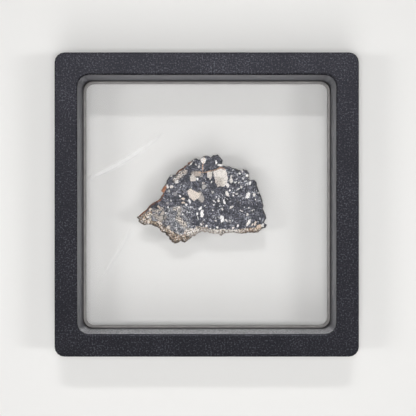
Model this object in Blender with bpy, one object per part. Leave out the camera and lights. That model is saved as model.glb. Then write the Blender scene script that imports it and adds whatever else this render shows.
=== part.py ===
"""A sawn slice of lunar meteorite, held between two stretched clear films in a small hinged square frame.

The frame lies on its back: the origin is the centre of the back face's plane, +Z is towards whoever looks at the
slice, +Y is up in the picture that the frame makes, and +X is to the right, away from the hinge. Lengths are in
metres. Heights that both halves share are counted from the middle plane, where the two halves part.
"""

import math

import bmesh
import bpy
import numpy as np
from mathutils import Matrix, Vector, geometry, noise

# Driving dimensions of the frame
FRAME_SIDE = 0.090
FRAME_DEPTH = 0.020
FACE_BORDER = 0.0067
WALL_DRAFT = 0.00078
OUTER_CORNER = 0.0029
FACE_CORNER = 0.0034
FOOT_CORNER = 0.0026
OUTER_ROUNDING = 0.00035
INNER_ROUNDING = 0.0005
ROUNDING_STEPS = 3
PARTING_GAP = 0.0003
CLEARANCE = 0.0003

# The pocket in each half that takes the film and its ring
POCKET_DEPTH = 0.0015
POCKET_HALF = 0.0408
POCKET_CORNER = 0.0030

# The lip of the back half and the step of the front half that covers it, so that the joint shows no light
LIP_HALF = 0.0424
LIP_HEIGHT = 0.00045

# The ring that holds the film: a flat flange with a round bead along its inner edge
RING_HALF = 0.0405
RING_BASE = 0.00065
FLANGE_TOP = 0.0012
BEAD_HALF = 0.03685
BEAD_RADIUS = 0.0002
BEAD_TOP = 0.0015
BEAD_CORNER = 0.0024
BEAD_STEPS = 4

# The film, modelled thicker than the real one so that it is a sound solid
FILM_HALF = 0.0403
FILM_CORNER = 0.0028
FILM_FREE_HALF = 0.03655
FILM_THICKNESS = 0.0002
FILM_OVERHANG = 0.0004
FILM_SPOKES = 64
FILM_STEPS = (0.15, 0.4, 0.7, 1.0)

# The slice of stone
SLICE_THICKNESS = 0.0022
SLICE_CENTRE = (-0.0005, 0.0)
CRUST_LUMP = 0.0005
BREAK_LUMP = 0.00025
NOISE_SCALE = 620.0
BACK_SLOPE = 0.0004
WIDEST_HEIGHT = -0.0004
FACE_SHARES = (0.4, 0.8, 1.0)
EDGE_SHARES = (0.3, 0.62, 0.86)
EDGE_STEEPENING = 1.6

# The hinge and the catch
HINGE_X = -0.04515
KNUCKLE_RADIUS = 0.00105
KNUCKLE_LENGTH = 0.006
KNUCKLE_GROUPS = (-0.025, 0.025)
PIN_RADIUS = 0.0004
PIN_BORE_RADIUS = 0.00065
ROUND_SIDES = 20
TONGUE_SIZE = (0.0010, 0.010, 0.0023)
TONGUE_X = 0.0424
NIB_SIZE = 0.00025
SLOT_CLEARANCE = 0.0004
NAIL_GROOVE_RADIUS = 0.0012
NAIL_GROOVE_DEPTH = 0.00075
NAIL_GROOVE_LENGTH = 0.014

MID = FRAME_DEPTH / 2
HALF = FRAME_SIDE / 2
FACE_HALF = HALF - FACE_BORDER
FOOT_HALF = FACE_HALF - WALL_DRAFT
PARTING = PARTING_GAP / 2
GROUP_HALF_LENGTH = 1.5 * KNUCKLE_LENGTH + CLEARANCE
CORNER_STEPS = 4
MM = 0.001

# The slice's outline in millimetres, clockwise from its left tip as seen from the front: x, y and the width of the
# rough surface that slopes down from the sawn face to the widest line of the edge. Broken edges are steep, and the
# natural outside, along the lower left and the bottom, slopes gently.
BREAK = 0.4
OUTLINE_MM = (
    (-21.2, -3.8, 1.6), (-20.3, -3.2, 1.2), (-19.2, -2.1, 0.9), (-18.1, -1.2, 0.7), (-17.8, -0.6, 0.6),
    (-17.1, 0.2, 0.6), (-16.1, 0.7, 0.6), (-14.4, 1.6, 0.5), (-13.9, 2.4, BREAK), (-13.4, 3.2, BREAK),
    (-13.3, 3.7, BREAK), (-13.9, 4.1, 0.6), (-13.3, 5.1, 0.6), (-12.7, 5.9, BREAK), (-12.0, 7.5, BREAK),
    (-11.1, 9.0, BREAK), (-10.4, 9.2, BREAK), (-9.7, 9.2, BREAK), (-9.1, 9.9, 0.6), (-8.3, 10.6, 0.6),
    (-7.2, 11.3, BREAK), (-6.6, 11.9, BREAK), (-6.0, 12.1, BREAK), (-5.8, 12.8, 0.6), (-5.0, 13.2, 0.6),
    (-3.8, 14.0, BREAK), (-3.2, 14.1, BREAK), (-2.3, 13.7, BREAK), (-1.2, 14.7, BREAK), (-0.6, 15.1, BREAK),
    (0.7, 14.9, BREAK), (1.2, 14.4, BREAK), (1.8, 14.9, BREAK), (3.3, 15.2, BREAK), (4.0, 14.4, BREAK),
    (4.9, 13.5, BREAK), (4.7, 12.8, BREAK), (4.9, 12.1, BREAK), (5.7, 11.6, BREAK), (7.0, 11.7, BREAK),
    (7.9, 11.2, BREAK), (8.8, 11.0, BREAK), (9.5, 10.6, BREAK), (10.4, 10.3, BREAK), (11.1, 10.8, BREAK),
    (11.5, 10.4, BREAK), (11.8, 10.6, BREAK), (12.4, 10.3, BREAK), (12.9, 9.6, BREAK), (13.0, 8.3, BREAK),
    (12.6, 7.9, BREAK), (13.2, 7.5, BREAK), (14.6, 7.6, BREAK), (15.2, 6.9, BREAK), (15.3, 5.8, BREAK),
    (15.8, 4.2, BREAK), (16.4, 2.9, BREAK), (16.9, 1.5, BREAK), (17.4, -0.4, BREAK), (17.2, -1.3, BREAK),
    (17.8, -2.9, BREAK), (18.2, -3.9, BREAK), (17.7, -4.8, BREAK), (17.4, -5.5, BREAK), (18.3, -6.1, BREAK),
    (17.9, -7.1, 0.6), (16.8, -7.4, 0.9), (16.1, -8.3, 1.0), (15.5, -8.6, 1.0), (13.9, -8.6, 1.1),
    (12.4, -8.6, 1.2), (11.8, -8.9, 1.3), (10.1, -8.8, 1.3), (8.8, -8.6, 1.2), (6.9, -8.5, 1.2),
    (5.2, -8.8, 1.3), (4.4, -9.3, 1.5), (3.4, -8.9, 1.3), (1.2, -8.6, 1.3), (-1.8, -8.3, 1.6),
    (-2.7, -8.6, 2.0), (-3.3, -9.2, 2.3), (-4.2, -9.4, 2.6), (-4.8, -10.2, 2.8), (-6.7, -11.7, 2.9),
    (-7.5, -11.6, 2.8), (-8.1, -11.2, 2.6), (-8.7, -11.7, 2.6), (-9.8, -11.8, 2.5), (-10.5, -11.2, 2.3),
    (-11.3, -10.2, 2.0), (-12.3, -9.5, 1.8), (-12.6, -8.7, 1.5), (-13.8, -8.2, 1.6), (-14.5, -7.4, 1.6),
    (-16.1, -6.7, 2.2), (-16.7, -6.3, 2.6), (-17.8, -6.1, 2.8), (-19.0, -6.3, 3.0), (-20.0, -6.0, 2.8),
    (-20.7, -5.0, 2.4), (-20.9, -4.3, 2.0),
)


def clear_scene():
    """Removes every object that the scene already holds."""
    for obj in list(bpy.data.objects):
        bpy.data.objects.remove(obj, do_unlink=True)


def make_material(name, rgba, roughness, metallic=0.0):
    """A plain Principled material."""
    material = bpy.data.materials.new(name)
    material.use_nodes = True
    shader = material.node_tree.nodes["Principled BSDF"]
    shader.inputs["Base Color"].default_value = rgba
    shader.inputs["Roughness"].default_value = roughness
    shader.inputs["Metallic"].default_value = metallic
    shader.inputs["Alpha"].default_value = rgba[3]
    return material


def add_object(name, bm, material=None, parent=None, smooth_angle=35.0):
    """Turns a bmesh into a linked object, with its faces pointing out and its round stretches shaded smooth."""
    bmesh.ops.recalc_face_normals(bm, faces=bm.faces)
    mesh = bpy.data.meshes.new(name)
    bm.to_mesh(mesh)
    bm.free()
    mesh.shade_smooth()
    mesh.set_sharp_from_angle(angle=math.radians(smooth_angle))
    obj = bpy.data.objects.new(name, mesh)
    bpy.context.scene.collection.objects.link(obj)
    if material:
        mesh.materials.append(material)
    if parent:
        obj.parent = parent
        obj.matrix_parent_inverse = Matrix.Translation(-parent.location)
    return obj


def add_cutter(name, bm):
    """An object that only shapes others: it is drawn as wire and left out of the model."""
    cutter = add_object(name, bm)
    cutter.hide_render = True
    cutter.display_type = "WIRE"
    return cutter


def apply_shape(obj, operation, tool):
    """Adds a Boolean that joins the tool to the object or cuts it out."""
    modifier = obj.modifiers.new(tool.name, "BOOLEAN")
    modifier.operation = operation
    modifier.solver = "EXACT"
    modifier.object = tool


def rounded_square(half, corner, height):
    """The points of a square with round corners, counter-clockwise, at one height."""
    points = []
    for quarter in range(4):
        turn = quarter * math.pi / 2
        middle = Matrix.Rotation(turn, 3, "Z") @ Vector((half - corner, half - corner, 0))
        for step in range(CORNER_STEPS + 1):
            angle = turn + step * math.pi / 2 / CORNER_STEPS
            points.append(middle + Vector((corner * math.cos(angle), corner * math.sin(angle), height)))
    return points


def join_rings(bm, rings, closed):
    """Fills the faces between rings of the same number of vertices, and from the last to the first if closed."""
    pairs = list(zip(rings, rings[1:]))
    if closed:
        pairs.append((rings[-1], rings[0]))
    for lower, upper in pairs:
        count = len(lower)
        for i in range(count):
            j = (i + 1) % count
            bm.faces.new((lower[i], lower[j], upper[j], upper[i]))


def swept_section(section, side):
    """Carries a closed section round the square: each entry is its half width, corner radius and height from the
    middle plane, on the front (side 1) or the back (side -1)."""
    bm = bmesh.new()
    rings = []
    for half, corner, height in section:
        points = rounded_square(half, corner, MID + side * height)
        rings.append([bm.verts.new(point) for point in points])
    join_rings(bm, rings, closed=True)
    return bm


def closed_skin(rings, first_pole, last_pole):
    """A closed body from a stack of rings, each an array of points, that shrinks to a pole at both ends."""
    bm = bmesh.new()
    vert_rings = [[bm.verts.new(point) for point in ring] for ring in rings]
    join_rings(bm, vert_rings, closed=False)
    for ring, pole in ((vert_rings[0], first_pole), (vert_rings[-1], last_pole)):
        tip = bm.verts.new(pole)
        for i, vert in enumerate(ring):
            bm.faces.new((vert, ring[(i + 1) % len(ring)], tip))
    return bm


def add_rod(bm, x, z, y_from, y_to, radius):
    """Adds a round bar along Y."""
    place = Matrix.Translation((x, (y_from + y_to) / 2, z)) @ Matrix.Rotation(math.pi / 2, 4, "X")
    bmesh.ops.create_cone(
        bm, segments=ROUND_SIDES, cap_ends=True, radius1=radius, radius2=radius, depth=y_to - y_from, matrix=place
    )


def add_block(bm, low, high):
    """Adds a box between two corners."""
    size = [b - a for a, b in zip(low, high)]
    middle = [(a + b) / 2 for a, b in zip(low, high)]
    place = Matrix.Translation(middle) @ Matrix.Diagonal((*size, 1.0))
    bmesh.ops.create_cube(bm, size=1.0, matrix=place)


def knuckle_spans(owner):
    """The stretches of Y that one half's knuckles take: the back half has the outer two of each three, and the
    front half the middle one."""
    spans = []
    for centre in KNUCKLE_GROUPS:
        for place in (-1, 0, 1):
            if (place == 0) == (owner == "front"):
                middle = centre + place * (KNUCKLE_LENGTH + CLEARANCE)
                spans.append((middle - KNUCKLE_LENGTH / 2, middle + KNUCKLE_LENGTH / 2))
    return spans


def knuckles(owner, radius, spare):
    """Round bars on the hinge's axis, one for each knuckle of one half, longer by a spare length at both ends."""
    bm = bmesh.new()
    for low, high in knuckle_spans(owner):
        add_rod(bm, HINGE_X, MID, low - spare, high + spare, radius)
    return bm


def pin_bores():
    """The holes for the pins, through all three knuckles of each group and past both ends."""
    bm = bmesh.new()
    reach = GROUP_HALF_LENGTH + CLEARANCE
    for centre in KNUCKLE_GROUPS:
        add_rod(bm, HINGE_X, MID, centre - reach, centre + reach, PIN_BORE_RADIUS)
    return bm


def nail_groove():
    """The half-round groove for a fingernail, on the parting line opposite the hinge."""
    bm = bmesh.new()
    x = HALF - NAIL_GROOVE_DEPTH + NAIL_GROOVE_RADIUS
    add_rod(bm, x, MID, -NAIL_GROOVE_LENGTH / 2, NAIL_GROOVE_LENGTH / 2, NAIL_GROOVE_RADIUS)
    return bm


def catch_tongue():
    """The front half's tongue, with a small nib on its outer side near the tip."""
    width, length, reach = TONGUE_SIZE
    bm = bmesh.new()
    add_block(
        bm,
        (TONGUE_X - width / 2, -length / 2, MID - reach),
        (TONGUE_X + width / 2, length / 2, MID + POCKET_DEPTH),
    )
    return bm


def catch_nib():
    """The nib: a low three-sided ridge along the tongue's outer side."""
    width, length, reach = TONGUE_SIZE
    face = TONGUE_X + width / 2
    low = MID - reach + NIB_SIZE
    corners = ((face - NIB_SIZE, low), (face + NIB_SIZE, low + 2 * NIB_SIZE), (face - NIB_SIZE, low + 4 * NIB_SIZE))
    bm = bmesh.new()
    profile = [bm.verts.new((x, -length / 4, z)) for x, z in corners]
    face_start = bm.faces.new(profile)
    grown = bmesh.ops.extrude_face_region(bm, geom=[face_start])["geom"]
    moved = [item for item in grown if isinstance(item, bmesh.types.BMVert)]
    bmesh.ops.translate(bm, verts=moved, vec=(0, length / 2, 0))
    return bm


def catch_slot():
    """The back half's slot, which takes the tongue and its nib with room all round."""
    width, length, reach = TONGUE_SIZE
    bm = bmesh.new()
    add_block(
        bm,
        (TONGUE_X - width / 2 - SLOT_CLEARANCE, -length / 2 - SLOT_CLEARANCE, MID - reach - SLOT_CLEARANCE),
        (TONGUE_X + width / 2 + NIB_SIZE + SLOT_CLEARANCE, length / 2 + SLOT_CLEARANCE, MID + 2 * LIP_HEIGHT),
    )
    return bm


def half_section(side):
    """The section of one half of the frame, from the outer wall's foot round the face to the film's pocket. Where
    the halves meet, the back one ends in a raised lip and the front one in a step that leaves room for it."""
    soft = 1.0 - math.cos(math.pi / 4)
    outer = OUTER_ROUNDING
    inner_rounding = []
    for step in range(ROUNDING_STEPS + 1):
        angle = step * math.pi / 2 / ROUNDING_STEPS
        away = INNER_ROUNDING * (1.0 - math.sin(angle))
        drop = INNER_ROUNDING * (1.0 - math.cos(angle))
        inner_rounding.append((FACE_HALF + away, FACE_CORNER + away, MID - drop))
    step_height = LIP_HEIGHT + CLEARANCE if side > 0 else -LIP_HEIGHT
    step_half = LIP_HALF + CLEARANCE if side > 0 else LIP_HALF
    step_corner = POCKET_CORNER + step_half - POCKET_HALF
    return (
        (HALF, OUTER_CORNER, PARTING),
        (HALF, OUTER_CORNER, MID - outer),
        (HALF - soft * outer, OUTER_CORNER, MID - soft * outer),
        (HALF - outer, OUTER_CORNER - outer, MID),
        *inner_rounding,
        (FOOT_HALF, FOOT_CORNER, POCKET_DEPTH),
        (POCKET_HALF, POCKET_CORNER, POCKET_DEPTH),
        (POCKET_HALF, POCKET_CORNER, step_height),
        (step_half, step_corner, step_height),
        (step_half, step_corner, PARTING),
    )


def ring_section():
    """The section of the film's ring: the flange, then the half-round bead along its inner edge."""
    section = [
        (RING_HALF, POCKET_CORNER - CLEARANCE, RING_BASE),
        (RING_HALF, POCKET_CORNER - CLEARANCE, FLANGE_TOP),
    ]
    for step in range(BEAD_STEPS + 1):
        angle = step * math.pi / BEAD_STEPS
        outward = BEAD_RADIUS * (1.0 + math.cos(angle))
        height = FLANGE_TOP + (BEAD_TOP - FLANGE_TOP) * math.sin(angle)
        section.append((BEAD_HALF + outward, BEAD_CORNER + outward, height))
    section.append((BEAD_HALF, BEAD_CORNER, RING_BASE))
    return section


def square_radius(angles, half, corner):
    """Distance from the centre to a square with round corners, in the direction of each angle."""
    across = np.abs(np.stack([np.cos(angles), np.sin(angles)]))
    flat = half / across.max(axis=0)
    hub = half - corner
    along = hub * across.sum(axis=0)
    reach = np.sqrt(np.maximum(along**2 - 2 * hub**2 + corner**2, 0.0))
    in_corner = flat * across.min(axis=0) > hub
    return np.where(in_corner, along + reach, flat)


def hull_radius(angles):
    """Distance from the centre to the slice's convex outline: the film bridges every hollow of the real one."""
    points = [Vector((x * MM, y * MM)) for x, y, _ in OUTLINE_MM]
    hull = np.array([points[i] for i in geometry.convex_hull_2d(points)])
    edges = np.roll(hull, -1, axis=0) - hull
    area = hull[:, 0] * edges[:, 1] - hull[:, 1] * edges[:, 0]
    cross = np.outer(np.cos(angles), edges[:, 1]) - np.outer(np.sin(angles), edges[:, 0])
    distance = np.where(cross * np.sign(area) > 1e-9, area / np.where(cross == 0, 1.0, cross), np.inf)
    return distance.min(axis=1)


def polar_ring(angles, radius, height, centre=(0.0, 0.0)):
    """Points at each angle and radius round a centre, at the given heights."""
    ring = np.empty((len(angles), 3))
    ring[:, 0] = centre[0] + radius * np.cos(angles)
    ring[:, 1] = centre[1] + radius * np.sin(angles)
    ring[:, 2] = height
    return ring


def film_skin(side):
    """The film of one half. Over the slice it stands clear of the sawn face. From there its height falls to the
    ring with the logarithm of the distance, as a taut skin does between a small inner edge and a wide outer one."""
    angles = np.arange(FILM_SPOKES) * 2 * math.pi / FILM_SPOKES
    stone = hull_radius(angles) + FILM_OVERHANG
    ring = square_radius(angles, FILM_FREE_HALF, BEAD_CORNER)
    raised = SLICE_THICKNESS / 2 + CLEARANCE
    stations = [(stone / 2, raised), (stone, raised)]
    for step in FILM_STEPS:
        stations.append((stone * (ring / stone) ** step, raised + (PARTING - raised) * step))
    stations.append((square_radius(angles, FILM_HALF, FILM_CORNER), PARTING))

    def surface(offset):
        return [polar_ring(angles, radius, MID + side * (height + offset)) for radius, height in stations]

    rings = surface(0.0) + surface(FILM_THICKNESS)[::-1]
    inner_pole = (0.0, 0.0, MID + side * raised)
    outer_pole = (0.0, 0.0, MID + side * (raised + FILM_THICKNESS))
    return closed_skin(rings, inner_pole, outer_pole)


def fine_outline():
    """The outline with a point added halfway along each side: angle and radius round the slice's centre, and the
    width of the sloping edge."""
    rows = np.array(OUTLINE_MM) * MM
    halfway = (rows + np.roll(rows, -1, axis=0)) / 2
    rows = np.stack([rows, halfway], axis=1).reshape(-1, 3)
    x = rows[:, 0] - SLICE_CENTRE[0]
    y = rows[:, 1] - SLICE_CENTRE[1]
    return np.arctan2(y, x), np.hypot(x, y), rows[:, 2]


def roughen(ring, amount):
    """Moves each point of a ring in and out by smooth noise, by up to the amount given for it."""
    for point, reach in zip(ring, amount):
        lump = noise.noise(Vector(point) * NOISE_SCALE)
        outward = Vector((point[0] - SLICE_CENTRE[0], point[1] - SLICE_CENTRE[1]))
        outward.normalize()
        point[0] += outward.x * lump * reach
        point[1] += outward.y * lump * reach
        point[2] += lump * reach
    return ring


def slice_skin():
    """The slice: two flat sawn faces, and between them the rough edge, which slopes out from the front face to its
    widest line and turns in again to the back face."""
    angles, radius, slope = fine_outline()
    top = SLICE_THICKNESS / 2
    drop = top - WIDEST_HEIGHT
    lump = np.where(slope > BREAK * MM, CRUST_LUMP, BREAK_LUMP)
    rings = []
    for share in FACE_SHARES:
        rings.append(polar_ring(angles, share * (radius - slope), MID + top, SLICE_CENTRE))
    for share in EDGE_SHARES:
        height = MID + top - drop * share**EDGE_STEEPENING
        ring = polar_ring(angles, radius - slope * (1.0 - share), height, SLICE_CENTRE)
        rings.append(roughen(ring, lump * (1.0 - share**4)))
    rings.append(polar_ring(angles, radius, MID + WIDEST_HEIGHT, SLICE_CENTRE))
    rings.append(polar_ring(angles, radius - BACK_SLOPE / 3, MID + (WIDEST_HEIGHT - top) / 2, SLICE_CENTRE))
    for share in reversed(FACE_SHARES):
        rings.append(polar_ring(angles, share * (radius - BACK_SLOPE), MID - top, SLICE_CENTRE))
    return closed_skin(rings, (*SLICE_CENTRE, MID + top), (*SLICE_CENTRE, MID - top))


def build_frame(materials, hinge):
    """The two halves of the frame, shaped by the hinge's knuckles and bores, the catch and the nail groove."""
    front = add_object("frame_front", swept_section(half_section(1), 1), materials["frame"], hinge)
    back = add_object("frame_back", swept_section(half_section(-1), -1), materials["frame"])
    room = KNUCKLE_RADIUS + CLEARANCE
    bores = add_cutter("cut_pin_bores", pin_bores())
    groove = add_cutter("cut_nail_groove", nail_groove())
    for half, owner, other in ((front, "front", "back"), (back, "back", "front")):
        apply_shape(half, "DIFFERENCE", add_cutter("cut_room_for_" + other, knuckles(other, room, CLEARANCE)))
        apply_shape(half, "UNION", add_cutter("add_knuckles_" + owner, knuckles(owner, KNUCKLE_RADIUS, 0.0)))
        apply_shape(half, "DIFFERENCE", bores)
        apply_shape(half, "DIFFERENCE", groove)
    apply_shape(front, "UNION", add_cutter("add_catch_tongue", catch_tongue()))
    apply_shape(front, "UNION", add_cutter("add_catch_nib", catch_nib()))
    apply_shape(back, "DIFFERENCE", add_cutter("cut_catch_slot", catch_slot()))


def build_films(materials, hinge):
    """The films and the rings that hold them."""
    for name, side, parent in (("front", 1, hinge), ("back", -1, None)):
        add_object("film_ring_" + name, swept_section(ring_section(), side), materials["ring"], parent)
        add_object("film_" + name, film_skin(side), materials["film"], parent)


def build_pins(materials):
    """The two hinge pins, a little shorter than the knuckles they run through."""
    for name, centre in zip(("hinge_pin_lower", "hinge_pin_upper"), KNUCKLE_GROUPS):
        bm = bmesh.new()
        reach = GROUP_HALF_LENGTH - CLEARANCE
        add_rod(bm, HINGE_X, MID, centre - reach, centre + reach, PIN_RADIUS)
        add_object(name, bm, materials["pin"])


def main():
    clear_scene()
    materials = {
        "frame": make_material("black_moulded_plastic", (0.027, 0.027, 0.030, 1.0), 0.5),
        "ring": make_material("grey_plastic_ring", (0.13, 0.13, 0.135, 1.0), 0.4),
        "film": make_material("clear_film", (0.86, 0.86, 0.85, 0.15), 0.1),
        "stone": make_material("lunar_breccia", (0.16, 0.16, 0.18, 1.0), 0.6),
        "pin": make_material("steel_pin", (0.55, 0.55, 0.56, 1.0), 0.3, 1.0),
    }
    hinge = bpy.data.objects.new("hinge_axis", None)
    hinge.location = (HINGE_X, 0.0, MID)
    bpy.context.scene.collection.objects.link(hinge)
    build_frame(materials, hinge)
    build_films(materials, hinge)
    build_pins(materials)
    add_object("meteorite_slice", slice_skin(), materials["stone"])


main()
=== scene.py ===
# %% [markdown]
# A sawn slice of lunar meteorite hangs between two stretched clear films in a small black square frame.
# The frame's mouldings, rings and hinge pins are rigid and come ready made. This lesson gives them their
# finishes, makes the stone and the two films as new surfaces, and then sets up the floor, the light and the
# camera. Everything is in metres, +Z is towards the viewer and the frame lies on its back on z = 0.

# %% Load the rigid pieces
import math

import bpy
import numpy as np
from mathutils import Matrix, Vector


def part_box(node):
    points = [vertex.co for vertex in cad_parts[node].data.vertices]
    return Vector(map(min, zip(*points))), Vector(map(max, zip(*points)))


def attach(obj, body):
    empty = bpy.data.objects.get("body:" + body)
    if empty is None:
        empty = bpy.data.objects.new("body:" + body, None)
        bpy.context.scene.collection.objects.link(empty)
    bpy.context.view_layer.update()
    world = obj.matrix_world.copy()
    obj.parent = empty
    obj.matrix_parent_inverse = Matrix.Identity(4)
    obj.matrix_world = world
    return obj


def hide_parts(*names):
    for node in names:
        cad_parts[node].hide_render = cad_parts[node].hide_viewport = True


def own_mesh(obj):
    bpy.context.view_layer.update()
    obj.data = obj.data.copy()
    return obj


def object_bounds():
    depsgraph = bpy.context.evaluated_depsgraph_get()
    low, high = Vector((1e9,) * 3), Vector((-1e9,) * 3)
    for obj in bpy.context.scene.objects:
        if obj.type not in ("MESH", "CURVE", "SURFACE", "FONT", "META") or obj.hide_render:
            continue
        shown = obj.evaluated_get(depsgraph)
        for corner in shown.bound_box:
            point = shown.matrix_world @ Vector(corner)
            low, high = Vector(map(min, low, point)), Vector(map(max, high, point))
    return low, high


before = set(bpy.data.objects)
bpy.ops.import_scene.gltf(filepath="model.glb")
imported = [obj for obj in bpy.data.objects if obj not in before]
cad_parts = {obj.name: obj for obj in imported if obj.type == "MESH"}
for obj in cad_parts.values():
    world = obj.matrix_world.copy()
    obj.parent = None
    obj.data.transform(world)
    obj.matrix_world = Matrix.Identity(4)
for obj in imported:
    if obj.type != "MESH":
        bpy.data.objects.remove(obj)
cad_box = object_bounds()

print("rigid pieces:", ", ".join(sorted(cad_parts)))
print("whole box in mm:", [round(1000 * value, 2) for corner in cad_box for value in corner])

# %% [markdown]
# Sizes that the new surfaces share are read from the rigid pieces, so that a surface always fits what
# carries it. The sawn slice lies halfway up the frame, and the two halves of the frame part at that height.

# %% Shared sizes
MM = 0.001
slice_low, slice_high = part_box("meteorite_slice")
face_top = cad_box[1].z
MIDDLE = (slice_low.z + slice_high.z) / 2
HALF_THICKNESS = (slice_high.z - slice_low.z) / 2
print("middle height", round(MIDDLE / MM, 2), "mm, slice thickness", round(2 * HALF_THICKNESS / MM, 2), "mm")

# %% [markdown]
# Blender stores light as linear numbers, while a colour picked from a picture is an sRGB hex value. One
# function does that change, so that each finish below can be written as the colour that the eye sees.


# %% Colour helper
def linear(hex_colour):
    """Linear RGBA from an sRGB hex colour such as '#808080': each channel c becomes c / 12.92 when it is
    small, and ((c + 0.055) / 1.055) to the power 2.4 otherwise."""
    channels = np.array([int(hex_colour[i:i + 2], 16) for i in (1, 3, 5)]) / 255
    low = channels / 12.92
    high = ((channels + 0.055) / 1.055) ** 2.4
    return (*np.where(channels <= 0.04045, low, high).tolist(), 1.0)


print("mid grey #808080 is", round(linear("#808080")[0], 3), "in linear light")

# %% [markdown]
# A finish is a small network of nodes. One function adds a node with its settings and its inputs: an input
# that is another node becomes a link, and any other value is set on the socket itself. The inputs are given
# by name or number, or simply in the order of the sockets. A Map Range node, for one, takes a value, the two
# ends of the range that it comes from, and the two ends of the range that it goes to.


# %% Node helpers
def set_inputs(tree, node, inputs):
    """Sets a node's inputs. A node stands for the first of its outputs that is in use."""
    for name, value in inputs.items() if isinstance(inputs, dict) else enumerate(inputs):
        if isinstance(value, bpy.types.Node):
            value = next(output for output in value.outputs if output.enabled)
        if isinstance(value, bpy.types.NodeSocket):
            tree.links.new(value, node.inputs[name])
        else:
            node.inputs[name].default_value = value


def add_node(tree, kind, inputs=(), stops=(), **settings):
    """Adds one node. The stops of a colour ramp are (place, hex colour) pairs, in order."""
    node = tree.nodes.new(kind)
    for name, value in settings.items():
        setattr(node, name, value)
    set_inputs(tree, node, inputs)
    for number, (place, colour) in enumerate(stops):
        ramp = node.color_ramp.elements
        stop = ramp[number] if number < 2 else ramp.new(place)
        stop.position = place
        stop.color = linear(colour)
    return node


def painted(tree, base, *layers):
    """A colour covered by layers, the lowest one first. A layer is a mask from 0 to 1, a colour and, where
    it doesn't just cover, the way it blends."""
    for mask, colour, *blend in layers:
        base = add_node(
            tree, "ShaderNodeMix", {0: mask, 6: base, 7: colour}, data_type="RGBA",
            blend_type=blend[0] if blend else "MIX",
        )
    return base


def new_finish(name):
    """A material that is still plain, with its nodes, its Principled shader, and a node that gives the
    object's own coordinates in millimetres."""
    material = bpy.data.materials.new(name)
    material.use_nodes = True
    tree = material.node_tree
    place = add_node(tree, "ShaderNodeTexCoord")
    in_mm = add_node(
        tree, "ShaderNodeVectorMath", {0: place.outputs["Object"], "Scale": 1 / MM}, operation="SCALE"
    )
    return material, tree, tree.nodes["Principled BSDF"], in_mm


print("helpers ready")

# %% [markdown]
# A mesh is two arrays: where the points are, and which four points make each face. Blender takes both at
# once with foreach_set, which is thousands of times quicker than adding points one by one.


# %% Mesh helper
def put_mesh(name, points, quads, finish, body=None):
    """An object at the origin from an (n, 3) array of points and an (m, 4) array of faces, shaded smooth."""
    mesh = bpy.data.meshes.new(name)
    mesh.vertices.add(len(points))
    mesh.vertices.foreach_set("co", points.astype(np.float32).ravel())
    mesh.loops.add(quads.size)
    mesh.loops.foreach_set("vertex_index", quads.astype(np.int32).ravel())
    mesh.polygons.add(len(quads))
    mesh.polygons.foreach_set("loop_start", np.arange(0, quads.size, 4, dtype=np.int32))
    mesh.update(calc_edges=True)
    mesh.shade_smooth()
    mesh.materials.append(finish)
    piece = bpy.data.objects.new(name, mesh)
    bpy.context.scene.collection.objects.link(piece)
    if body:
        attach(piece, body)
    print(name, "has", len(points), "points and", 2 * len(quads), "triangles")
    return piece


# %% [markdown]
# Both the stone's sawn face and a film are flat sheets with an outline of their own. A square grid can be
# laid on such a sheet without a crowded middle: each square ring becomes a smaller copy of the outline.


# %% Square grid laid on an outline
def square_grid(steps):
    """A grid of 2 * steps + 1 points a side. For each point: its share, which is the larger of |a| and |b|
    where a and b run from -1 to 1, and its lap, how far round its own square ring it is, from 0 to 1
    anticlockwise."""
    line = np.linspace(-1.0, 1.0, 2 * steps + 1)
    a, b = np.meshgrid(line, line, indexing="ij")
    share = np.maximum(np.abs(a), np.abs(b))
    size = np.where(share == 0, 1.0, share)
    right = (a == share) & (b < share)
    upper = (b == share) & (a > -share)
    left = (a == -share) & (b > -share)
    lap = np.select(
        [right, upper, left],
        [(b / size + 1) / 8, 0.25 + (1 - a / size) / 8, 0.5 + (1 - b / size) / 8],
        0.75 + (a / size + 1) / 8,
    )
    return share, lap % 1.0


def numbered(steps, first=0):
    """The numbers of the grid's points, as a square array."""
    return np.arange((2 * steps + 1) ** 2).reshape(2 * steps + 1, -1) + first


def border(steps, first=0):
    """The numbers of the grid's outermost points, anticlockwise in the order of their lap."""
    number = numbered(steps, first)
    return np.concatenate((number[-1, :-1], number[:0:-1, -1], number[0, :0:-1], number[:-1, 0]))


def grid_quads(steps, first=0, facing_up=True):
    """The faces between the grid's points."""
    number = numbered(steps, first)
    corners = (number[:-1, :-1], number[1:, :-1], number[1:, 1:], number[:-1, 1:])
    quads = np.stack(corners, axis=-1).reshape(-1, 4)
    return quads if facing_up else quads[:, ::-1]


def band_quads(upper, lower):
    """The faces of the band between two closed rings of points, facing out where the rings run
    anticlockwise."""
    return np.stack([upper, lower, np.roll(lower, -1), np.roll(upper, -1)], axis=-1)


print("a grid of 3 steps has a border of", len(border(3)), "points")

# %% [markdown]
# Broken rock is rough at every scale. Smooth random numbers on a lattice give that: a value is drawn for
# each corner of a cube, and blended between the corners. Adding finer and weaker copies makes it fractal.


# %% Lattice noise
def corner_values(corner, seed):
    """A random value from -1 to 1 for each whole-number corner, by mixing the bits of its three numbers."""
    x, y, z = np.moveaxis(corner, -1, 0)
    mixed = x * 73856093 ^ y * 19349663 ^ z * 83492791 ^ seed * 2654435761
    mixed = (mixed ^ (mixed >> 13)) * 1274126177 & 0xFFFFFFFF
    mixed = (mixed ^ (mixed >> 16)) * 668265263 & 0xFFFFFFFF
    return mixed / 0x7FFFFFFF - 1.0


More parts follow.
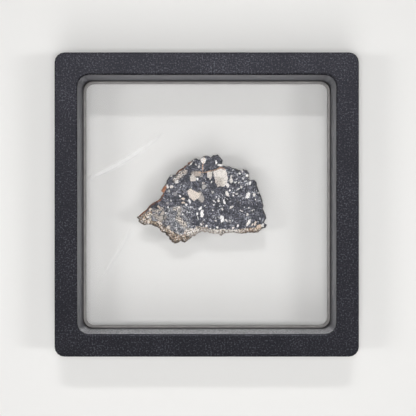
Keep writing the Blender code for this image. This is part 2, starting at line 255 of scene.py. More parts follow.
def smooth_noise(points, size, seed):
    """Noise from -1 to 1 with lumps about as wide as size: the corners' values, blended with 3t² - 2t³."""
    place = points / size
    corner = np.floor(place).astype(np.int64)
    part = place - corner
    part = part * part * (3 - 2 * part)
    total = np.zeros(len(points))
    for step in np.ndindex(2, 2, 2):
        weight = np.prod(np.where(np.array(step), part, 1 - part), axis=1)
        total += weight * corner_values(corner + np.array(step), seed)
    return total


def rough_noise(points, size, seed, layers=4):
    """Fractal noise: each layer is half the size and a little over half the strength of the one before."""
    return sum(0.55**layer * smooth_noise(points, size / 2**layer, seed + layer) for layer in range(layers))


def pebble_height(points, size, seed):
    """Packed round lumps about as wide as size: 1 at each lump's middle, falling to 0 in the crevices
    between them, as one minus the squared distance to the nearest of the points scattered one to a cube."""
    place = points / size
    corner = np.floor(place).astype(np.int64)
    nearest = np.full(len(points), np.inf)
    for step in np.ndindex(3, 3, 3):
        cell = corner + np.array(step) - 1
        spot = np.stack([corner_values(cell, seed + axis) for axis in range(3)], axis=-1) * 0.5 + 0.5
        nearest = np.minimum(nearest, ((cell + spot - place) ** 2).sum(axis=1))
    return 1.0 - np.minimum(nearest, 1.0)


trial = smooth_noise(np.random.default_rng(1).uniform(-1, 1, (1000, 3)), 0.1, 3)
print("noise runs from", trial.min().round(2), "to", trial.max().round(2))

# %% [markdown]
# The slice's outline is a list of given points, in millimetres, clockwise from its left tip. The third
# number is the width of the rough surface between the sawn face and the widest line of the edge: 0.4 where
# the stone was broken, and more where its natural outside is left, at the lower left and the bottom.

# %% The slice's outline
BREAK = 0.4
SLICE_CENTRE = np.array((-0.5, 0.0))
OUTLINE_MM = (
    (-21.2, -3.8, 1.6), (-20.3, -3.2, 1.2), (-19.2, -2.1, 0.9), (-18.1, -1.2, 0.7), (-17.8, -0.6, 0.6),
    (-17.1, 0.2, 0.6), (-16.1, 0.7, 0.6), (-14.4, 1.6, 0.5), (-13.9, 2.4, BREAK), (-13.4, 3.2, BREAK),
    (-13.3, 3.7, BREAK), (-13.9, 4.1, 0.6), (-13.3, 5.1, 0.6), (-12.7, 5.9, BREAK), (-12.0, 7.5, BREAK),
    (-11.1, 9.0, BREAK), (-10.4, 9.2, BREAK), (-9.7, 9.2, BREAK), (-9.1, 9.9, 0.6), (-8.3, 10.6, 0.6),
    (-7.2, 11.3, BREAK), (-6.6, 11.9, BREAK), (-6.0, 12.1, BREAK), (-5.8, 12.8, 0.6), (-5.0, 13.2, 0.6),
    (-3.8, 14.0, BREAK), (-3.2, 14.1, BREAK), (-2.3, 13.7, BREAK), (-1.2, 14.7, BREAK), (-0.6, 15.1, BREAK),
    (0.7, 14.9, BREAK), (1.2, 14.4, BREAK), (1.8, 14.9, BREAK), (3.3, 15.2, BREAK), (4.0, 14.4, BREAK),
    (4.9, 13.5, BREAK), (4.7, 12.8, BREAK), (4.9, 12.1, BREAK), (5.7, 11.6, BREAK), (7.0, 11.7, BREAK),
    (7.9, 11.2, BREAK), (8.8, 11.0, BREAK), (9.5, 10.6, BREAK), (10.4, 10.3, BREAK), (11.1, 10.8, BREAK),
    (11.5, 10.4, BREAK), (11.8, 10.6, BREAK), (12.4, 10.3, BREAK), (12.9, 9.6, BREAK), (13.0, 8.3, BREAK),
    (12.6, 7.9, BREAK), (13.2, 7.5, BREAK), (14.6, 7.6, BREAK), (15.2, 6.9, BREAK), (15.3, 5.8, BREAK),
    (15.8, 4.2, BREAK), (16.4, 2.9, BREAK), (16.9, 1.5, BREAK), (17.4, -0.4, BREAK), (17.2, -1.3, BREAK),
    (17.8, -2.9, BREAK), (18.2, -3.9, BREAK), (17.7, -4.8, BREAK), (17.4, -5.5, BREAK), (18.3, -6.1, BREAK),
    (17.9, -7.1, 0.6), (16.8, -7.4, 0.9), (16.1, -8.3, 1.0), (15.5, -8.6, 1.0), (13.9, -8.6, 1.1),
    (12.4, -8.6, 1.2), (11.8, -8.9, 1.3), (10.1, -8.8, 1.3), (8.8, -8.6, 1.2), (6.9, -8.5, 1.2),
    (5.2, -8.8, 1.3), (4.4, -9.3, 1.5), (3.4, -8.9, 1.3), (1.2, -8.6, 1.3), (-1.8, -8.3, 1.6),
    (-2.7, -8.6, 2.0), (-3.3, -9.2, 2.3), (-4.2, -9.4, 2.6), (-4.8, -10.2, 2.8), (-6.7, -11.7, 2.9),
    (-7.5, -11.6, 2.8), (-8.1, -11.2, 2.6), (-8.7, -11.7, 2.6), (-9.8, -11.8, 2.5), (-10.5, -11.2, 2.3),
    (-11.3, -10.2, 2.0), (-12.3, -9.5, 1.8), (-12.6, -8.7, 1.5), (-13.8, -8.2, 1.6), (-14.5, -7.4, 1.6),
    (-16.1, -6.7, 2.2), (-16.7, -6.3, 2.6), (-17.8, -6.1, 2.8), (-19.0, -6.3, 3.0), (-20.0, -6.0, 2.8),
    (-20.7, -5.0, 2.4), (-20.9, -4.3, 2.0),
)
outline = np.array(OUTLINE_MM)[::-1]
print("the slice is", np.ptp(outline[:, 0]).round(1), "x", np.ptp(outline[:, 1]).round(1), "mm")


# %% Outline by lap
def closed_path(points, laps, start_angle=-math.pi / 4):
    """Reads a closed anticlockwise path at each lap from 0 to 1, by distance along it from its point nearest
    to the start angle. Any further columns of the points are carried along."""
    angles = np.arctan2(points[:, 1], points[:, 0])
    points = np.roll(points, -int(np.argmin(np.abs(angles - start_angle))), axis=0)
    points = np.vstack([points, points[:1]])
    along = np.concatenate([[0.0], np.cumsum(np.hypot(*np.diff(points[:, :2], axis=0).T))])
    return np.stack([np.interp(laps * along[-1], along, column) for column in points.T], axis=-1)


chords = np.diff(closed_path(outline, np.linspace(0, 1, 401))[:, :2], axis=0)
print("perimeter by 400 short chords:", np.hypot(*chords.T).sum().round(1), "mm")

# %% [markdown]
# The slice is one closed skin: the sawn front face, the rough edge all round, and the sawn back face. The
# edge slopes out from the front to its widest line, a little under halfway down, and turns in again to the
# back. Lumps push the edge in and out, and what they push past a sawn face is cut off flat there, as the saw
# did. So the front outline gets its small bays and corners from the same lumps that shape the edge.

# %% The slice's surface
FACE_STEPS = 96
EDGE_STEPS = 17
UNDER_STEPS = 7
EDGE_STEEPENING = 1.6
WIDEST_MM = -0.4
BACK_SLOPE_MM = 0.4
TOP_MM = HALF_THICKNESS / MM
LUMP_MM = 1.6
PEBBLE_MM = 0.75
FINE_MM = 0.5
FULL_CRUST_MM = 0.8
LOOSE_DEPTH = 0.35
LUMP_PUSH_MM, LUMP_PUSH_IN_CRUST_MM = 0.16, 0.12
PEBBLE_PUSH_MM, PEBBLE_PUSH_IN_CRUST_MM = 0.08, 0.5
FINE_PUSH_MM = 0.07


def edge_profile():
    """The edge's section from front to back, as rows of: how much of the slope is used up, from 1 at the
    sawn face to 0 at the widest line, how far it has turned in behind, from 0 to 1, and its height in mm."""
    down = np.linspace(0.0, 1.0, EDGE_STEPS + 1)
    under = np.linspace(0.0, 1.0, UNDER_STEPS + 1)[1:]
    front = np.stack([1 - down, 0 * down, TOP_MM - (TOP_MM - WIDEST_MM) * down**EDGE_STEEPENING], axis=-1)
    back = np.stack([0 * under, under**2, WIDEST_MM - (TOP_MM + WIDEST_MM) * under], axis=-1)
    return np.vstack([front, back])


def slice_edge(lap):
    """The edge's rings of points in mm, and the outline's own ring. A point of a ring lies as far out as the
    outline, less the slope that is left there, plus the push of the lumps at that place."""
    ring = closed_path(outline - np.array((*SLICE_CENTRE, 0)), lap.ravel()[border(FACE_STEPS)])
    reach = np.hypot(ring[:, 0], ring[:, 1])
    outward = ring[:, :2] / reach[:, None]
    rows = []
    for slope_left, turned_in, height in edge_profile():
        radius = reach - ring[:, 2] * slope_left - BACK_SLOPE_MM * turned_in
        rows.append(np.column_stack([outward * radius[:, None], np.full(len(ring), height)]))
    edge = np.array(rows)
    crust = np.clip((ring[:, 2] - BREAK) / FULL_CRUST_MM, 0, 1)
    depth = np.arange(len(edge)) / EDGE_STEPS
    loose = np.minimum(depth / LOOSE_DEPTH, 1.0)[:, None]
    points = edge.reshape(-1, 3)
    pebbles = pebble_height(points, PEBBLE_MM, 11).reshape(edge.shape[:2]) - 0.75
    rough = rough_noise(points, LUMP_MM, 21).reshape(edge.shape[:2])
    fine = rough_noise(points, FINE_MM, 31, 2).reshape(edge.shape[:2])
    push = (LUMP_PUSH_MM + LUMP_PUSH_IN_CRUST_MM * crust) * rough + FINE_PUSH_MM * fine
    push += (PEBBLE_PUSH_MM + PEBBLE_PUSH_IN_CRUST_MM * crust * loose) * pebbles
    edge[..., :2] += outward * push[..., None]
    edge[..., 2] += 0.8 * push * loose * (depth < 1)[:, None]
    edge[..., 2] = np.clip(edge[..., 2], -TOP_MM, TOP_MM)
    edge[0, :, 2] = TOP_MM
    edge[-1, :, 2] = -TOP_MM
    return edge, ring


share, lap = square_grid(FACE_STEPS)
share = share.reshape(-1, 1)
edge, ring = slice_edge(lap)
print("the edge has", edge.shape[0], "rings of", edge.shape[1], "points")

# %% [markdown]
# The two sawn faces are then laid inside the first and the last ring of the edge, each ring of the grid a
# smaller copy of it. Sawing leaves the faces flat, apart from a few small pits where a grain fell out.

# %% Joining faces and edge
PIT_SPACING_MM = 0.9
PIT_SHARE = 0.07
PIT_DEPTH_MM = 0.14
PITTED_REACH = 0.97


def laid_inside(rim, height):
    """The square grid's points inside a closed ring: share times the ring's point at the same lap."""
    laps = np.arange(len(rim) + 1) / len(rim)
    closed = np.vstack([rim, rim[:1]])
    across = np.stack([np.interp(lap.ravel(), laps, closed[:, axis]) for axis in (0, 1)], axis=-1)
    return np.column_stack([across * share, np.full(len(share), height)])


def pits(points, seed):
    """Rounded hollows under the face, where the tops of packed lumps fall out in some places of a smooth
    noise. Each is a dome: its depth is the square root of how far the lump's top stands out."""
    pick = pebble_height(points, PIT_SPACING_MM, seed) - (1 - PIT_SHARE)
    chosen = (smooth_noise(points, 3.1, seed + 5) > 0.25) & (share[:, 0] < PITTED_REACH)
    return np.where(chosen, PIT_DEPTH_MM * np.sqrt(np.maximum(pick, 0) / PIT_SHARE), 0.0)


front = laid_inside(edge[0], TOP_MM)
back = laid_inside(edge[-1], -TOP_MM)
front[:, 2] -= pits(front, 41)
back[:, 2] += pits(back, 51)
middle_rows = edge[1:-1].reshape(-1, 3)
skin = np.vstack([front, middle_rows, back])
skin[:, :2] += SLICE_CENTRE

ring_length = edge.shape[1]
ring_rows = len(front) + np.arange(len(middle_rows)).reshape(-1, ring_length)
back_first = len(front) + len(middle_rows)
rings = [border(FACE_STEPS), *ring_rows, border(FACE_STEPS, back_first)]
skin_quads = np.vstack(
    [grid_quads(FACE_STEPS)]
    + [band_quads(upper, lower) for upper, lower in zip(rings, rings[1:])]
    + [grid_quads(FACE_STEPS, back_first, facing_up=False)]
)
print("skin:", len(skin), "points")

# %% [markdown]
# The stone is a breccia: broken pieces of pale feldspar rock, called clasts, set in dark glassy melt. The
# large clasts are placed one by one, because they are what the eye knows this slice by. Each row below is a
# clast in mm: x, y, width, length, turn in degrees, paleness from 0 grey to 1 white, and warmth from 0
# neutral to 1 tan.

# %% Rounded clasts
CLASTS_MM = (
    (-1.4, -2.9, 1.0, 2.3, 0, 1.0, 0.0), (-2.0, -1.2, 0.7, 1.2, -40, 1.0, 0.0),
    (4.7, -4.4, 1.1, 2.2, 0, 1.0, 0.0), (12.7, -5.5, 0.85, 2.3, -28, 1.0, 0.1),
    (12.5, 2.8, 1.1, 1.9, -28, 0.95, 0.0), (14.4, 2.9, 0.8, 0.9, 0, 0.8, 0.0),
    (6.1, 3.3, 0.9, 1.6, 15, 0.95, 0.15), (6.3, 5.8, 0.9, 1.3, 10, 0.95, 0.1),
    (7.4, 7.4, 0.8, 1.8, 0, 0.8, 0.05), (5.3, 0.8, 0.8, 1.4, 20, 1.0, 0.0),
    (12.3, 8.8, 0.9, 1.0, 0, 1.0, 0.1), (13.2, 6.5, 0.5, 1.1, -15, 1.0, 0.0),
    (2.8, 12.9, 0.6, 0.9, 0, 1.0, 0.0), (-9.1, 6.9, 1.2, 1.1, 0, 0.8, 0.0),
    (-0.8, 5.5, 1.2, 1.5, -45, 0.55, 0.0), (-10.7, 5.4, 0.9, 0.9, 0, 0.8, 0.1),
    (-11.9, 5.5, 0.8, 1.0, 0, 0.95, 0.2), (-10.8, 8.7, 0.9, 0.5, 15, 0.8, 0.0),
    (-7.2, 1.7, 1.1, 0.8, 0, 0.85, 0.5), (-7.2, 0.5, 1.3, 0.5, 0, 0.65, 0.5),
    (-5.2, 1.0, 0.6, 1.2, 20, 1.0, 0.0), (-6.1, 0.0, 0.6, 0.6, 0, 1.0, 0.0),
    (-8.5, -0.8, 0.7, 0.8, 30, 0.85, 0.2), (-11.7, -0.8, 0.5, 0.5, 0, 0.9, 0.0),
    (-12.5, -2.6, 0.5, 0.6, 30, 1.0, 0.0), (7.5, -0.8, 1.3, 0.5, 30, 0.8, 0.0),
    (9.5, -6.5, 0.7, 0.9, -20, 1.0, 0.0), (8.1, -7.1, 0.8, 0.7, 0, 0.95, 0.25),
    (15.8, -6.7, 1.7, 1.1, 15, 0.75, 0.8), (17.0, -6.3, 0.8, 1.0, 30, 1.0, 0.1),
    (-2.7, 7.8, 0.6, 1.0, 30, 1.0, 0.0), (1.5, 6.9, 0.4, 0.7, -20, 1.0, 0.0),
    (-1.4, 6.5, 0.5, 0.5, 0, 0.9, 0.0), (10.0, 9.4, 0.6, 0.7, 0, 0.9, 0.0),
    (10.8, 10.1, 0.5, 0.5, 0, 0.95, 0.1), (8.8, 6.8, 0.5, 0.6, 0, 0.95, 0.0),
    (9.8, 6.7, 0.5, 0.6, 20, 0.75, 0.0), (10.4, 5.3, 0.5, 0.7, 30, 0.8, 0.0),
    (9.5, 4.6, 0.8, 0.4, 30, 1.0, 0.0), (7.0, 4.3, 0.6, 0.6, 0, 1.0, 0.0),
    (8.2, 3.7, 0.5, 0.4, 20, 0.95, 0.0), (8.2, 2.8, 0.5, 0.6, 0, 0.95, 0.0),
    (9.1, 3.2, 0.6, 0.6, 0, 0.7, 0.0), (2.1, 1.2, 0.6, 0.6, 0, 0.9, 0.0),
    (3.5, 1.1, 0.8, 0.9, 30, 0.8, 0.0), (2.1, 0.0, 0.5, 0.5, 0, 0.95, 0.0),
    (-0.4, -0.3, 0.6, 0.4, 0, 1.0, 0.0), (1.9, -1.7, 0.6, 0.5, 0, 0.85, 0.0),
    (4.7, -1.4, 0.4, 0.8, 30, 0.8, 0.0), (14.1, -1.7, 1.1, 0.35, 35, 0.8, 0.0),
    (12.8, -1.0, 0.5, 0.5, 0, 0.85, 0.0), (14.8, 1.6, 0.5, 0.6, 0, 0.9, 0.0),
    (10.6, -1.9, 0.7, 0.4, -20, 0.8, 0.0), (12.4, -3.0, 0.4, 0.7, 0, 0.8, 0.0),
    (15.7, 3.6, 0.5, 0.6, -30, 0.9, 0.0), (-3.0, -2.8, 0.6, 0.9, 0, 1.0, 0.0),
    (-2.8, -4.0, 0.4, 0.8, 15, 0.9, 0.0), (-1.8, -6.0, 0.5, 0.7, 0, 0.9, 0.0),
    (-0.2, -6.5, 0.6, 0.5, 0, 0.9, 0.0), (1.0, -7.3, 0.6, 0.5, 0, 0.95, 0.0),
    (3.2, -6.9, 0.7, 0.6, 0, 0.9, 0.0), (3.7, -3.8, 0.4, 0.5, 0, 0.85, 0.0),
    (2.7, -4.9, 0.5, 0.4, 0, 0.8, 0.0), (5.9, -4.8, 0.4, 0.9, 25, 0.85, 0.0),
    (7.1, -5.0, 0.4, 0.8, 25, 0.75, 0.0), (14.8, -5.7, 0.5, 1.2, -10, 0.9, 0.5),
    (13.8, -6.1, 0.4, 0.9, -30, 0.85, 0.3), (7.6, 8.7, 0.4, 0.6, 0, 0.85, 0.0),
    (-11.4, 4.1, 0.5, 0.8, 20, 0.6, 0.0), (-8.1, 2.6, 0.5, 0.8, 35, 1.0, 0.0),
    (-9.5, 3.2, 1.3, 1.1, 20, 0.35, 0.0), (-10.9, 1.2, 0.6, 0.5, 0, 0.8, 0.0),
    (-12.0, 0.4, 0.8, 0.6, 20, 0.45, 0.0), (-2.4, 11.6, 0.5, 0.9, -30, 0.7, 0.0),
    (-3.3, 12.1, 0.6, 0.5, 0, 0.6, 0.0), (-1.6, 8.6, 0.8, 0.8, 0, 0.45, 0.0),
    (-7.4, -3.0, 0.4, 0.5, 0, 1.0, 0.0), (-11.9, -7.8, 0.35, 1.2, 40, 1.0, 0.2),
    (-10.0, -8.9, 0.5, 0.5, 0, 0.8, 0.0), (-8.7, -8.6, 0.35, 0.9, 20, 0.75, 0.0),
    (-7.7, -9.4, 1.2, 0.9, 20, 1.0, 0.3), (-4.7, 12.6, 0.5, 1.2, -45, 0.95, 0.2),
    (-8.2, 10.0, 0.45, 1.0, -45, 0.9, 0.3), (-4.0, 13.4, 0.4, 0.5, 0, 1.0, 0.1),
    (-14.1, -4.1, 1.2, 1.4, -30, 0.52, 0.2), (-14.7, -0.7, 1.2, 0.6, -40, 0.55, 0.5),
    (-17.0, -1.4, 0.7, 1.2, -35, 0.8, 0.5), (-2.7, 9.4, 2.1, 1.3, 0, 0.42, 0.35),
    (-1.6, 1.8, 1.3, 2.0, 10, 0.5, 0.15), (-13.5, -2.6, 0.9, 1.6, -40, 0.5, 0.25),
)
print(len(CLASTS_MM), "rounded clasts, the largest", max(max(row[2:4]) for row in CLASTS_MM), "mm")

# %% Angular clasts
ANGULAR_CLASTS_MM = (
    (
        ((2.0, 10.2), (2.5, 6.9), (3.3, 5.4), (5.2, 5.4), (6.1, 6.3), (6.4, 8.5), (5.8, 10.5), (4.2, 11.0)),
        0.9, 0.22,
    ),
    (((1.9, 10.6), (4.2, 11.5), (5.5, 10.9), (6.2, 11.5), (5.2, 12.4), (3.4, 12.3), (2.4, 11.5)), 1.0, 0.05),
    (((0.2, 9.9), (0.2, 8.5), (0.8, 7.4), (1.5, 7.9), (1.8, 10.2)), 0.75, 0.12),
    (((-5.9, 4.3), (-5.3, 2.2), (-3.7, 1.2), (-2.7, 1.8), (-1.6, 3.3), (-4.9, 4.8)), 0.88, 0.42),
    (((-2.2, 13.9), (-0.9, 12.2), (0.1, 13.8), (-1.0, 14.3)), 1.0, 0.15),
    (((-5.2, 8.1), (-4.8, 7.2), (-3.3, 7.2), (-3.2, 8.2), (-4.1, 9.5)), 0.72, 0.15),
)
print(len(ANGULAR_CLASTS_MM), "angular clasts")

# %% [markdown]
# The finish must know how deep inside a clast each point of the skin lies. Each clast is a solid lump, as
# thick as it is wide, so the larger ones reach the back face and the smaller ones don't. The depth is
# negative outside a clast, and the finish roughens it before it draws the border, which is then finer than
# the mesh. The back face has clasts of its own, placed at random with a fixed seed.

# %% Depth inside the clasts
LUMP_POWER = 2.6
HIDDEN_CLASTS = 70
WOBBLE_MM, WOBBLE_SIZE_MM = 0.2, 0.8
BACK_WOBBLE_MM, BACK_WOBBLE_SIZE_MM = 0.45, 1.3


def lump_depth(points, x, y, width, length, degrees, height):
    """Depth in mm inside a lump with soft corners: (1 - r) times its smaller half size, where r is 1 on the
    surface |across|^p + |along|^p + |up|^p = 1 of the lump, turned and scaled to its own sizes."""
    angle = math.radians(degrees)
    dx, dy = points[:, 0] - x, points[:, 1] - y
    across = 2 * (dx * math.cos(angle) + dy * math.sin(angle)) / width
    along = 2 * (dy * math.cos(angle) - dx * math.sin(angle)) / length
    up = (points[:, 2] - height) / (0.55 * (width + length))
    r = sum(np.abs(distance) ** LUMP_POWER for distance in (across, along, up)) ** (1 / LUMP_POWER)
    return (1 - r) * min(width, length) / 2


def block_depth(points, corners):
    """Depth inside an upright block, in the points' own unit: the least distance to the lines through its
    sides."""
    corners = np.array(corners)
    sides = np.roll(corners, -1, axis=0) - corners
    normals = np.stack([-sides[:, 1], sides[:, 0]], axis=-1) / np.hypot(sides[:, 0], sides[:, 1])[:, None]
    area = (corners * np.roll(corners, -1, axis=0)[:, ::-1] * (1, -1)).sum()
    distance = points[:, None, :2] - corners[None]
    return ((distance * normals).sum(axis=2) * np.sign(area)).min(axis=1)


rng = np.random.default_rng(5751)
hidden = np.column_stack([
    rng.uniform(-19, 17, HIDDEN_CLASTS),
    rng.uniform(-11, 14, HIDDEN_CLASTS),
    rng.uniform(0.4, 1.7, HIDDEN_CLASTS),
    rng.uniform(0.6, 2.6, HIDDEN_CLASTS),
    rng.uniform(-90, 90, HIDDEN_CLASTS),
    rng.uniform(0.4, 1.0, HIDDEN_CLASTS),
    rng.uniform(0.0, 0.4, HIDDEN_CLASTS),
])
wobbled = skin.copy()
wobbled[:, 0] += WOBBLE_MM * smooth_noise(skin, WOBBLE_SIZE_MM, 61)
wobbled[:, 1] += WOBBLE_MM * smooth_noise(skin, WOBBLE_SIZE_MM, 62)
back_wobble = np.stack([smooth_noise(skin, BACK_WOBBLE_SIZE_MM, seed) for seed in (63, 64, 65)], axis=-1)
back_wobbled = skin + BACK_WOBBLE_MM * back_wobble
found = [(lump_depth(wobbled, *row[:5], TOP_MM), row[5], row[6]) for row in CLASTS_MM]
found += [(lump_depth(back_wobbled, *row[:5], -TOP_MM), row[5], row[6]) for row in hidden]
found += [(block_depth(wobbled, corners), *tones) for corners, *tones in ANGULAR_CLASTS_MM]
clast_depth = np.full(len(skin), -9.0)
clast_paleness = np.zeros(len(skin))
clast_warmth = np.zeros(len(skin))
for depth, paleness, warmth in found:
    nearer = depth > clast_depth
    clast_depth = np.where(nearer, depth, clast_depth)
    clast_paleness = np.where(nearer, paleness, clast_paleness)
    clast_warmth = np.where(nearer, warmth, clast_warmth)
print("share of the skin inside a clast:", (clast_depth > 0).mean().round(3))

# %% [markdown]
# More fields steer the finish: where the natural outside shows and where it is paler, where rust crept in
# since the fall, where an older grey breccia is enclosed in the lower left, where the melt has a pale web or
# a dark line, and where the small white flecks crowd. Patches are soft lumps: x, y, width, length and turn.
# Lines have half a width and corners. Rust is a skin on the upper left edge and a thin vein through the top,
# and each of its lines also has a paleness.

# %% Patches and lines
CRUST_PATCHES_MM = (
    (-19.2, -4.4, 5.0, 4.2, 0), (-15.0, -6.4, 4.0, 2.0, -22), (-5.2, -8.5, 3.4, 2.8, 0),
    (-1.9, -7.7, 2.6, 1.5, 0), (-9.0, -10.9, 6.0, 2.0, 0), (14.6, -7.6, 5.0, 1.2, 0),
    (-17.6, -3.0, 2.4, 1.6, 30), (3.5, -8.2, 11.0, 1.5, 0), (11.0, -7.9, 7.0, 1.2, 5),
)
PALE_CRUST_MM = (
    (-4.2, -8.0, 5.0, 3.4, 0), (1.5, -8.4, 8.5, 3.0, 0), (-16.9, -3.6, 2.4, 2.0, 0),
    (7.5, -8.4, 6.0, 2.4, 0),
)
FLECK_PATCHES_MM = (
    (9.2, 7.0, 8.5, 8.0, -30), (4.5, 1.5, 9.0, 6.0, 0), (-5.5, -1.5, 5.0, 6.0, 20),
    (-1.0, -6.0, 8.0, 4.5, 0), (-9.3, 6.2, 8.0, 9.0, 0), (14.5, 5.0, 4.0, 4.0, 0),
    (13.5, -6.8, 7.0, 2.6, 0),
)
INCLUSION_MM = (-9.2, -5.0, 8.0, 9.0, 15)
GREY_END_MM = (3.4, 6.4, 4.4, 5.0, -20)
RUST_LINES_MM = (
    (0.44, 0.14, (
        (-20.4, -3.1), (-19.0, -1.9), (-17.9, -0.8), (-17.0, 0.1), (-15.9, 0.7), (-14.4, 1.5), (-13.5, 2.9),
    )),
    (0.7, 0.45, ((-13.4, 4.2), (-12.9, 5.2))),
    (0.3, 0.15, ((-9.3, 9.4), (-8.3, 10.4), (-7.1, 11.2), (-6.0, 12.3), (-4.9, 13.1))),
    (0.07, 1.05, ((-0.7, 14.9), (-0.9, 13.2), (-1.3, 11.7), (-1.2, 9.8), (-2.4, 9.8))),
    (0.08, 1.0, ((-1.2, 9.7), (0.1, 10.0), (1.8, 10.3), (3.2, 10.7))),
    (0.13, 0.65, ((3.0, 10.6), (4.2, 11.3), (5.4, 10.8))),
)
WEB_LINES_MM = (
    (0.4, ((-9.9, -1.3), (-8.1, -1.1), (-8.5, -2.7), (-9.0, -4.3))),
    (0.7, ((-8.6, -4.0), (-8.1, -4.9), (-6.8, -6.2))),
    (0.7, ((-15.6, -3.3), (-14.2, -4.4), (-12.9, -3.8))),
    (0.35, ((-16.2, -1.7), (-14.8, -2.0), (-13.6, -1.2))),
    (0.6, ((-9.6, 7.6), (-8.2, 8.8), (-6.6, 10.0))),
    (0.7, ((-3.9, 9.3), (-2.2, 9.3))),
    (0.7, ((-2.2, 3.2), (-1.7, 1.8))),
)
DARK_LINES_MM = (
    (0.2, (
        (-10.3, -0.2), (-11.8, -1.0), (-12.7, -2.6), (-12.9, -4.0), (-12.7, -6.2), (-11.6, -7.8),
        (-10.4, -8.7),
    )),
    (0.16, ((-7.4, -0.4), (-6.6, -1.4), (-5.2, -2.0), (-3.9, -1.9))),
    (0.14, ((-6.9, -2.6), (-5.8, -4.0), (-5.4, -5.6))),
    (0.14, ((0.3, 13.6), (1.1, 11.8), (1.6, 11.0))),
    (0.14, ((7.0, 10.6), (8.6, 9.9), (9.6, 9.6))),
)
print(len(CRUST_PATCHES_MM), "patches of crust and", len(RUST_LINES_MM), "lines of rust")

# %% Crust, rust, web and flecks
DARK_RIM_MM = 0.1
FLECK_FADE_MM = 1.5
GREY_FADE_MM = 1.4
THROUGH = np.array((1.0, 1.0, 0.25))


def patch_depth(*patches):
    """Depth in mm inside the deepest of soft patches that change little from the front to the back."""
    return np.max([lump_depth(skin * THROUGH, *patch, 0.0) for patch in patches], axis=0)


def line_depth(half_width, corners):
    """Depth in mm inside a line with round ends: half its width minus the distance to the nearest of its
    pieces. It runs straight through from the front to the back."""
    nearest = np.full(len(skin), np.inf)
    for start, end in zip(np.array(corners), np.array(corners)[1:]):
        along = ((skin[:, :2] - start) @ (end - start)) / ((end - start) @ (end - start))
        foot = start + np.clip(along, 0, 1)[:, None] * (end - start)
        nearest = np.minimum(nearest, np.hypot(*(skin[:, :2] - foot).T))
    return half_width - nearest


edge_rows = len(ring_rows)
lap_slope = np.interp(lap.ravel(), np.linspace(0, 1, ring_length + 1), np.append(ring[:, 2], ring[0, 2]))
slope_here = np.concatenate([lap_slope, np.tile(ring[:, 2], edge_rows), lap_slope])
reach_here = np.hypot(front[:, 0], front[:, 1]) / np.where(share[:, 0] == 0, 1, share[:, 0])
face_inset = (1 - share[:, 0]) * reach_here
rim_inset = np.concatenate([face_inset, np.zeros(edge_rows * ring_length), face_inset])
rust_found = np.array([line_depth(half_width, corners) for half_width, _, corners in RUST_LINES_MM])
grey_end = np.clip(patch_depth(GREY_END_MM) / GREY_FADE_MM, 0, 1)
down_edge = np.repeat((np.arange(edge_rows) + 1) / EDGE_STEPS, ring_length)
fields = {
    "clast_depth": clast_depth,
    "clast_paleness": clast_paleness - 0.25 * grey_end,
    "clast_warmth": clast_warmth,
    "crust_depth": np.maximum(patch_depth(*CRUST_PATCHES_MM), 0.4 * (slope_here - BREAK - 0.5) - rim_inset),
    "crust_paleness": np.clip(patch_depth(*PALE_CRUST_MM) + 0.4, 0, 1),
    "rust_depth": rust_found.max(axis=0),
    "rust_paleness": np.array([paleness for _, paleness, _ in RUST_LINES_MM])[rust_found.argmax(axis=0)],
    "inclusion_depth": patch_depth(INCLUSION_MM),
    "web_depth": np.max([line_depth(*line) for line in WEB_LINES_MM], axis=0),
    "dark_depth": np.max([line_depth(*line) for line in DARK_LINES_MM], axis=0),
    "stipple": 0.5 + 0.5 * grey_end,
    # How far down the edge a point lies: it steers the painted shade under the crust's edge.
    "overhang": np.concatenate([np.zeros(len(front)), down_edge, np.ones(len(back))]),
    "fleck_share": 0.25 + 0.75 * np.clip(patch_depth(*FLECK_PATCHES_MM) / FLECK_FADE_MM, 0, 1),
    # Where the darker rim lies: on the rough edge, and within 0.1 mm of it on each sawn face.
    "broken_depth": np.where(rim_inset > 0, DARK_RIM_MM - rim_inset, 2 * DARK_RIM_MM),
}
print("share of the skin that is crust:", (fields["crust_depth"] > 0).mean().round(3))

# %% [markdown]
# Lunar feldspathic breccia, sawn and lapped: the melt is dark grey and almost dull, the feldspar white and
# faintly glossy, and the natural outside is tan, granular and dry. Real grains are 0.1 to 1 mm, and the real
# grit goes down to 0.05 mm, too fine to show here. The finish packs cells of 0.75 mm for the grains, each
# with its own grey and a darker border, scatters white flecks in cells of 0.55 mm, and adds a grit of
# 0.36 mm. It is painted in layers, from the melt up to the rust.

# %% The stone's finish
GRAIN_MM = 0.75
FLECK_MM = 0.55
CRUST_LUMP_MM = 0.48
GRIT_MM = 0.36
SPECK_MM = 0.3
TWIST_MM = 1.7


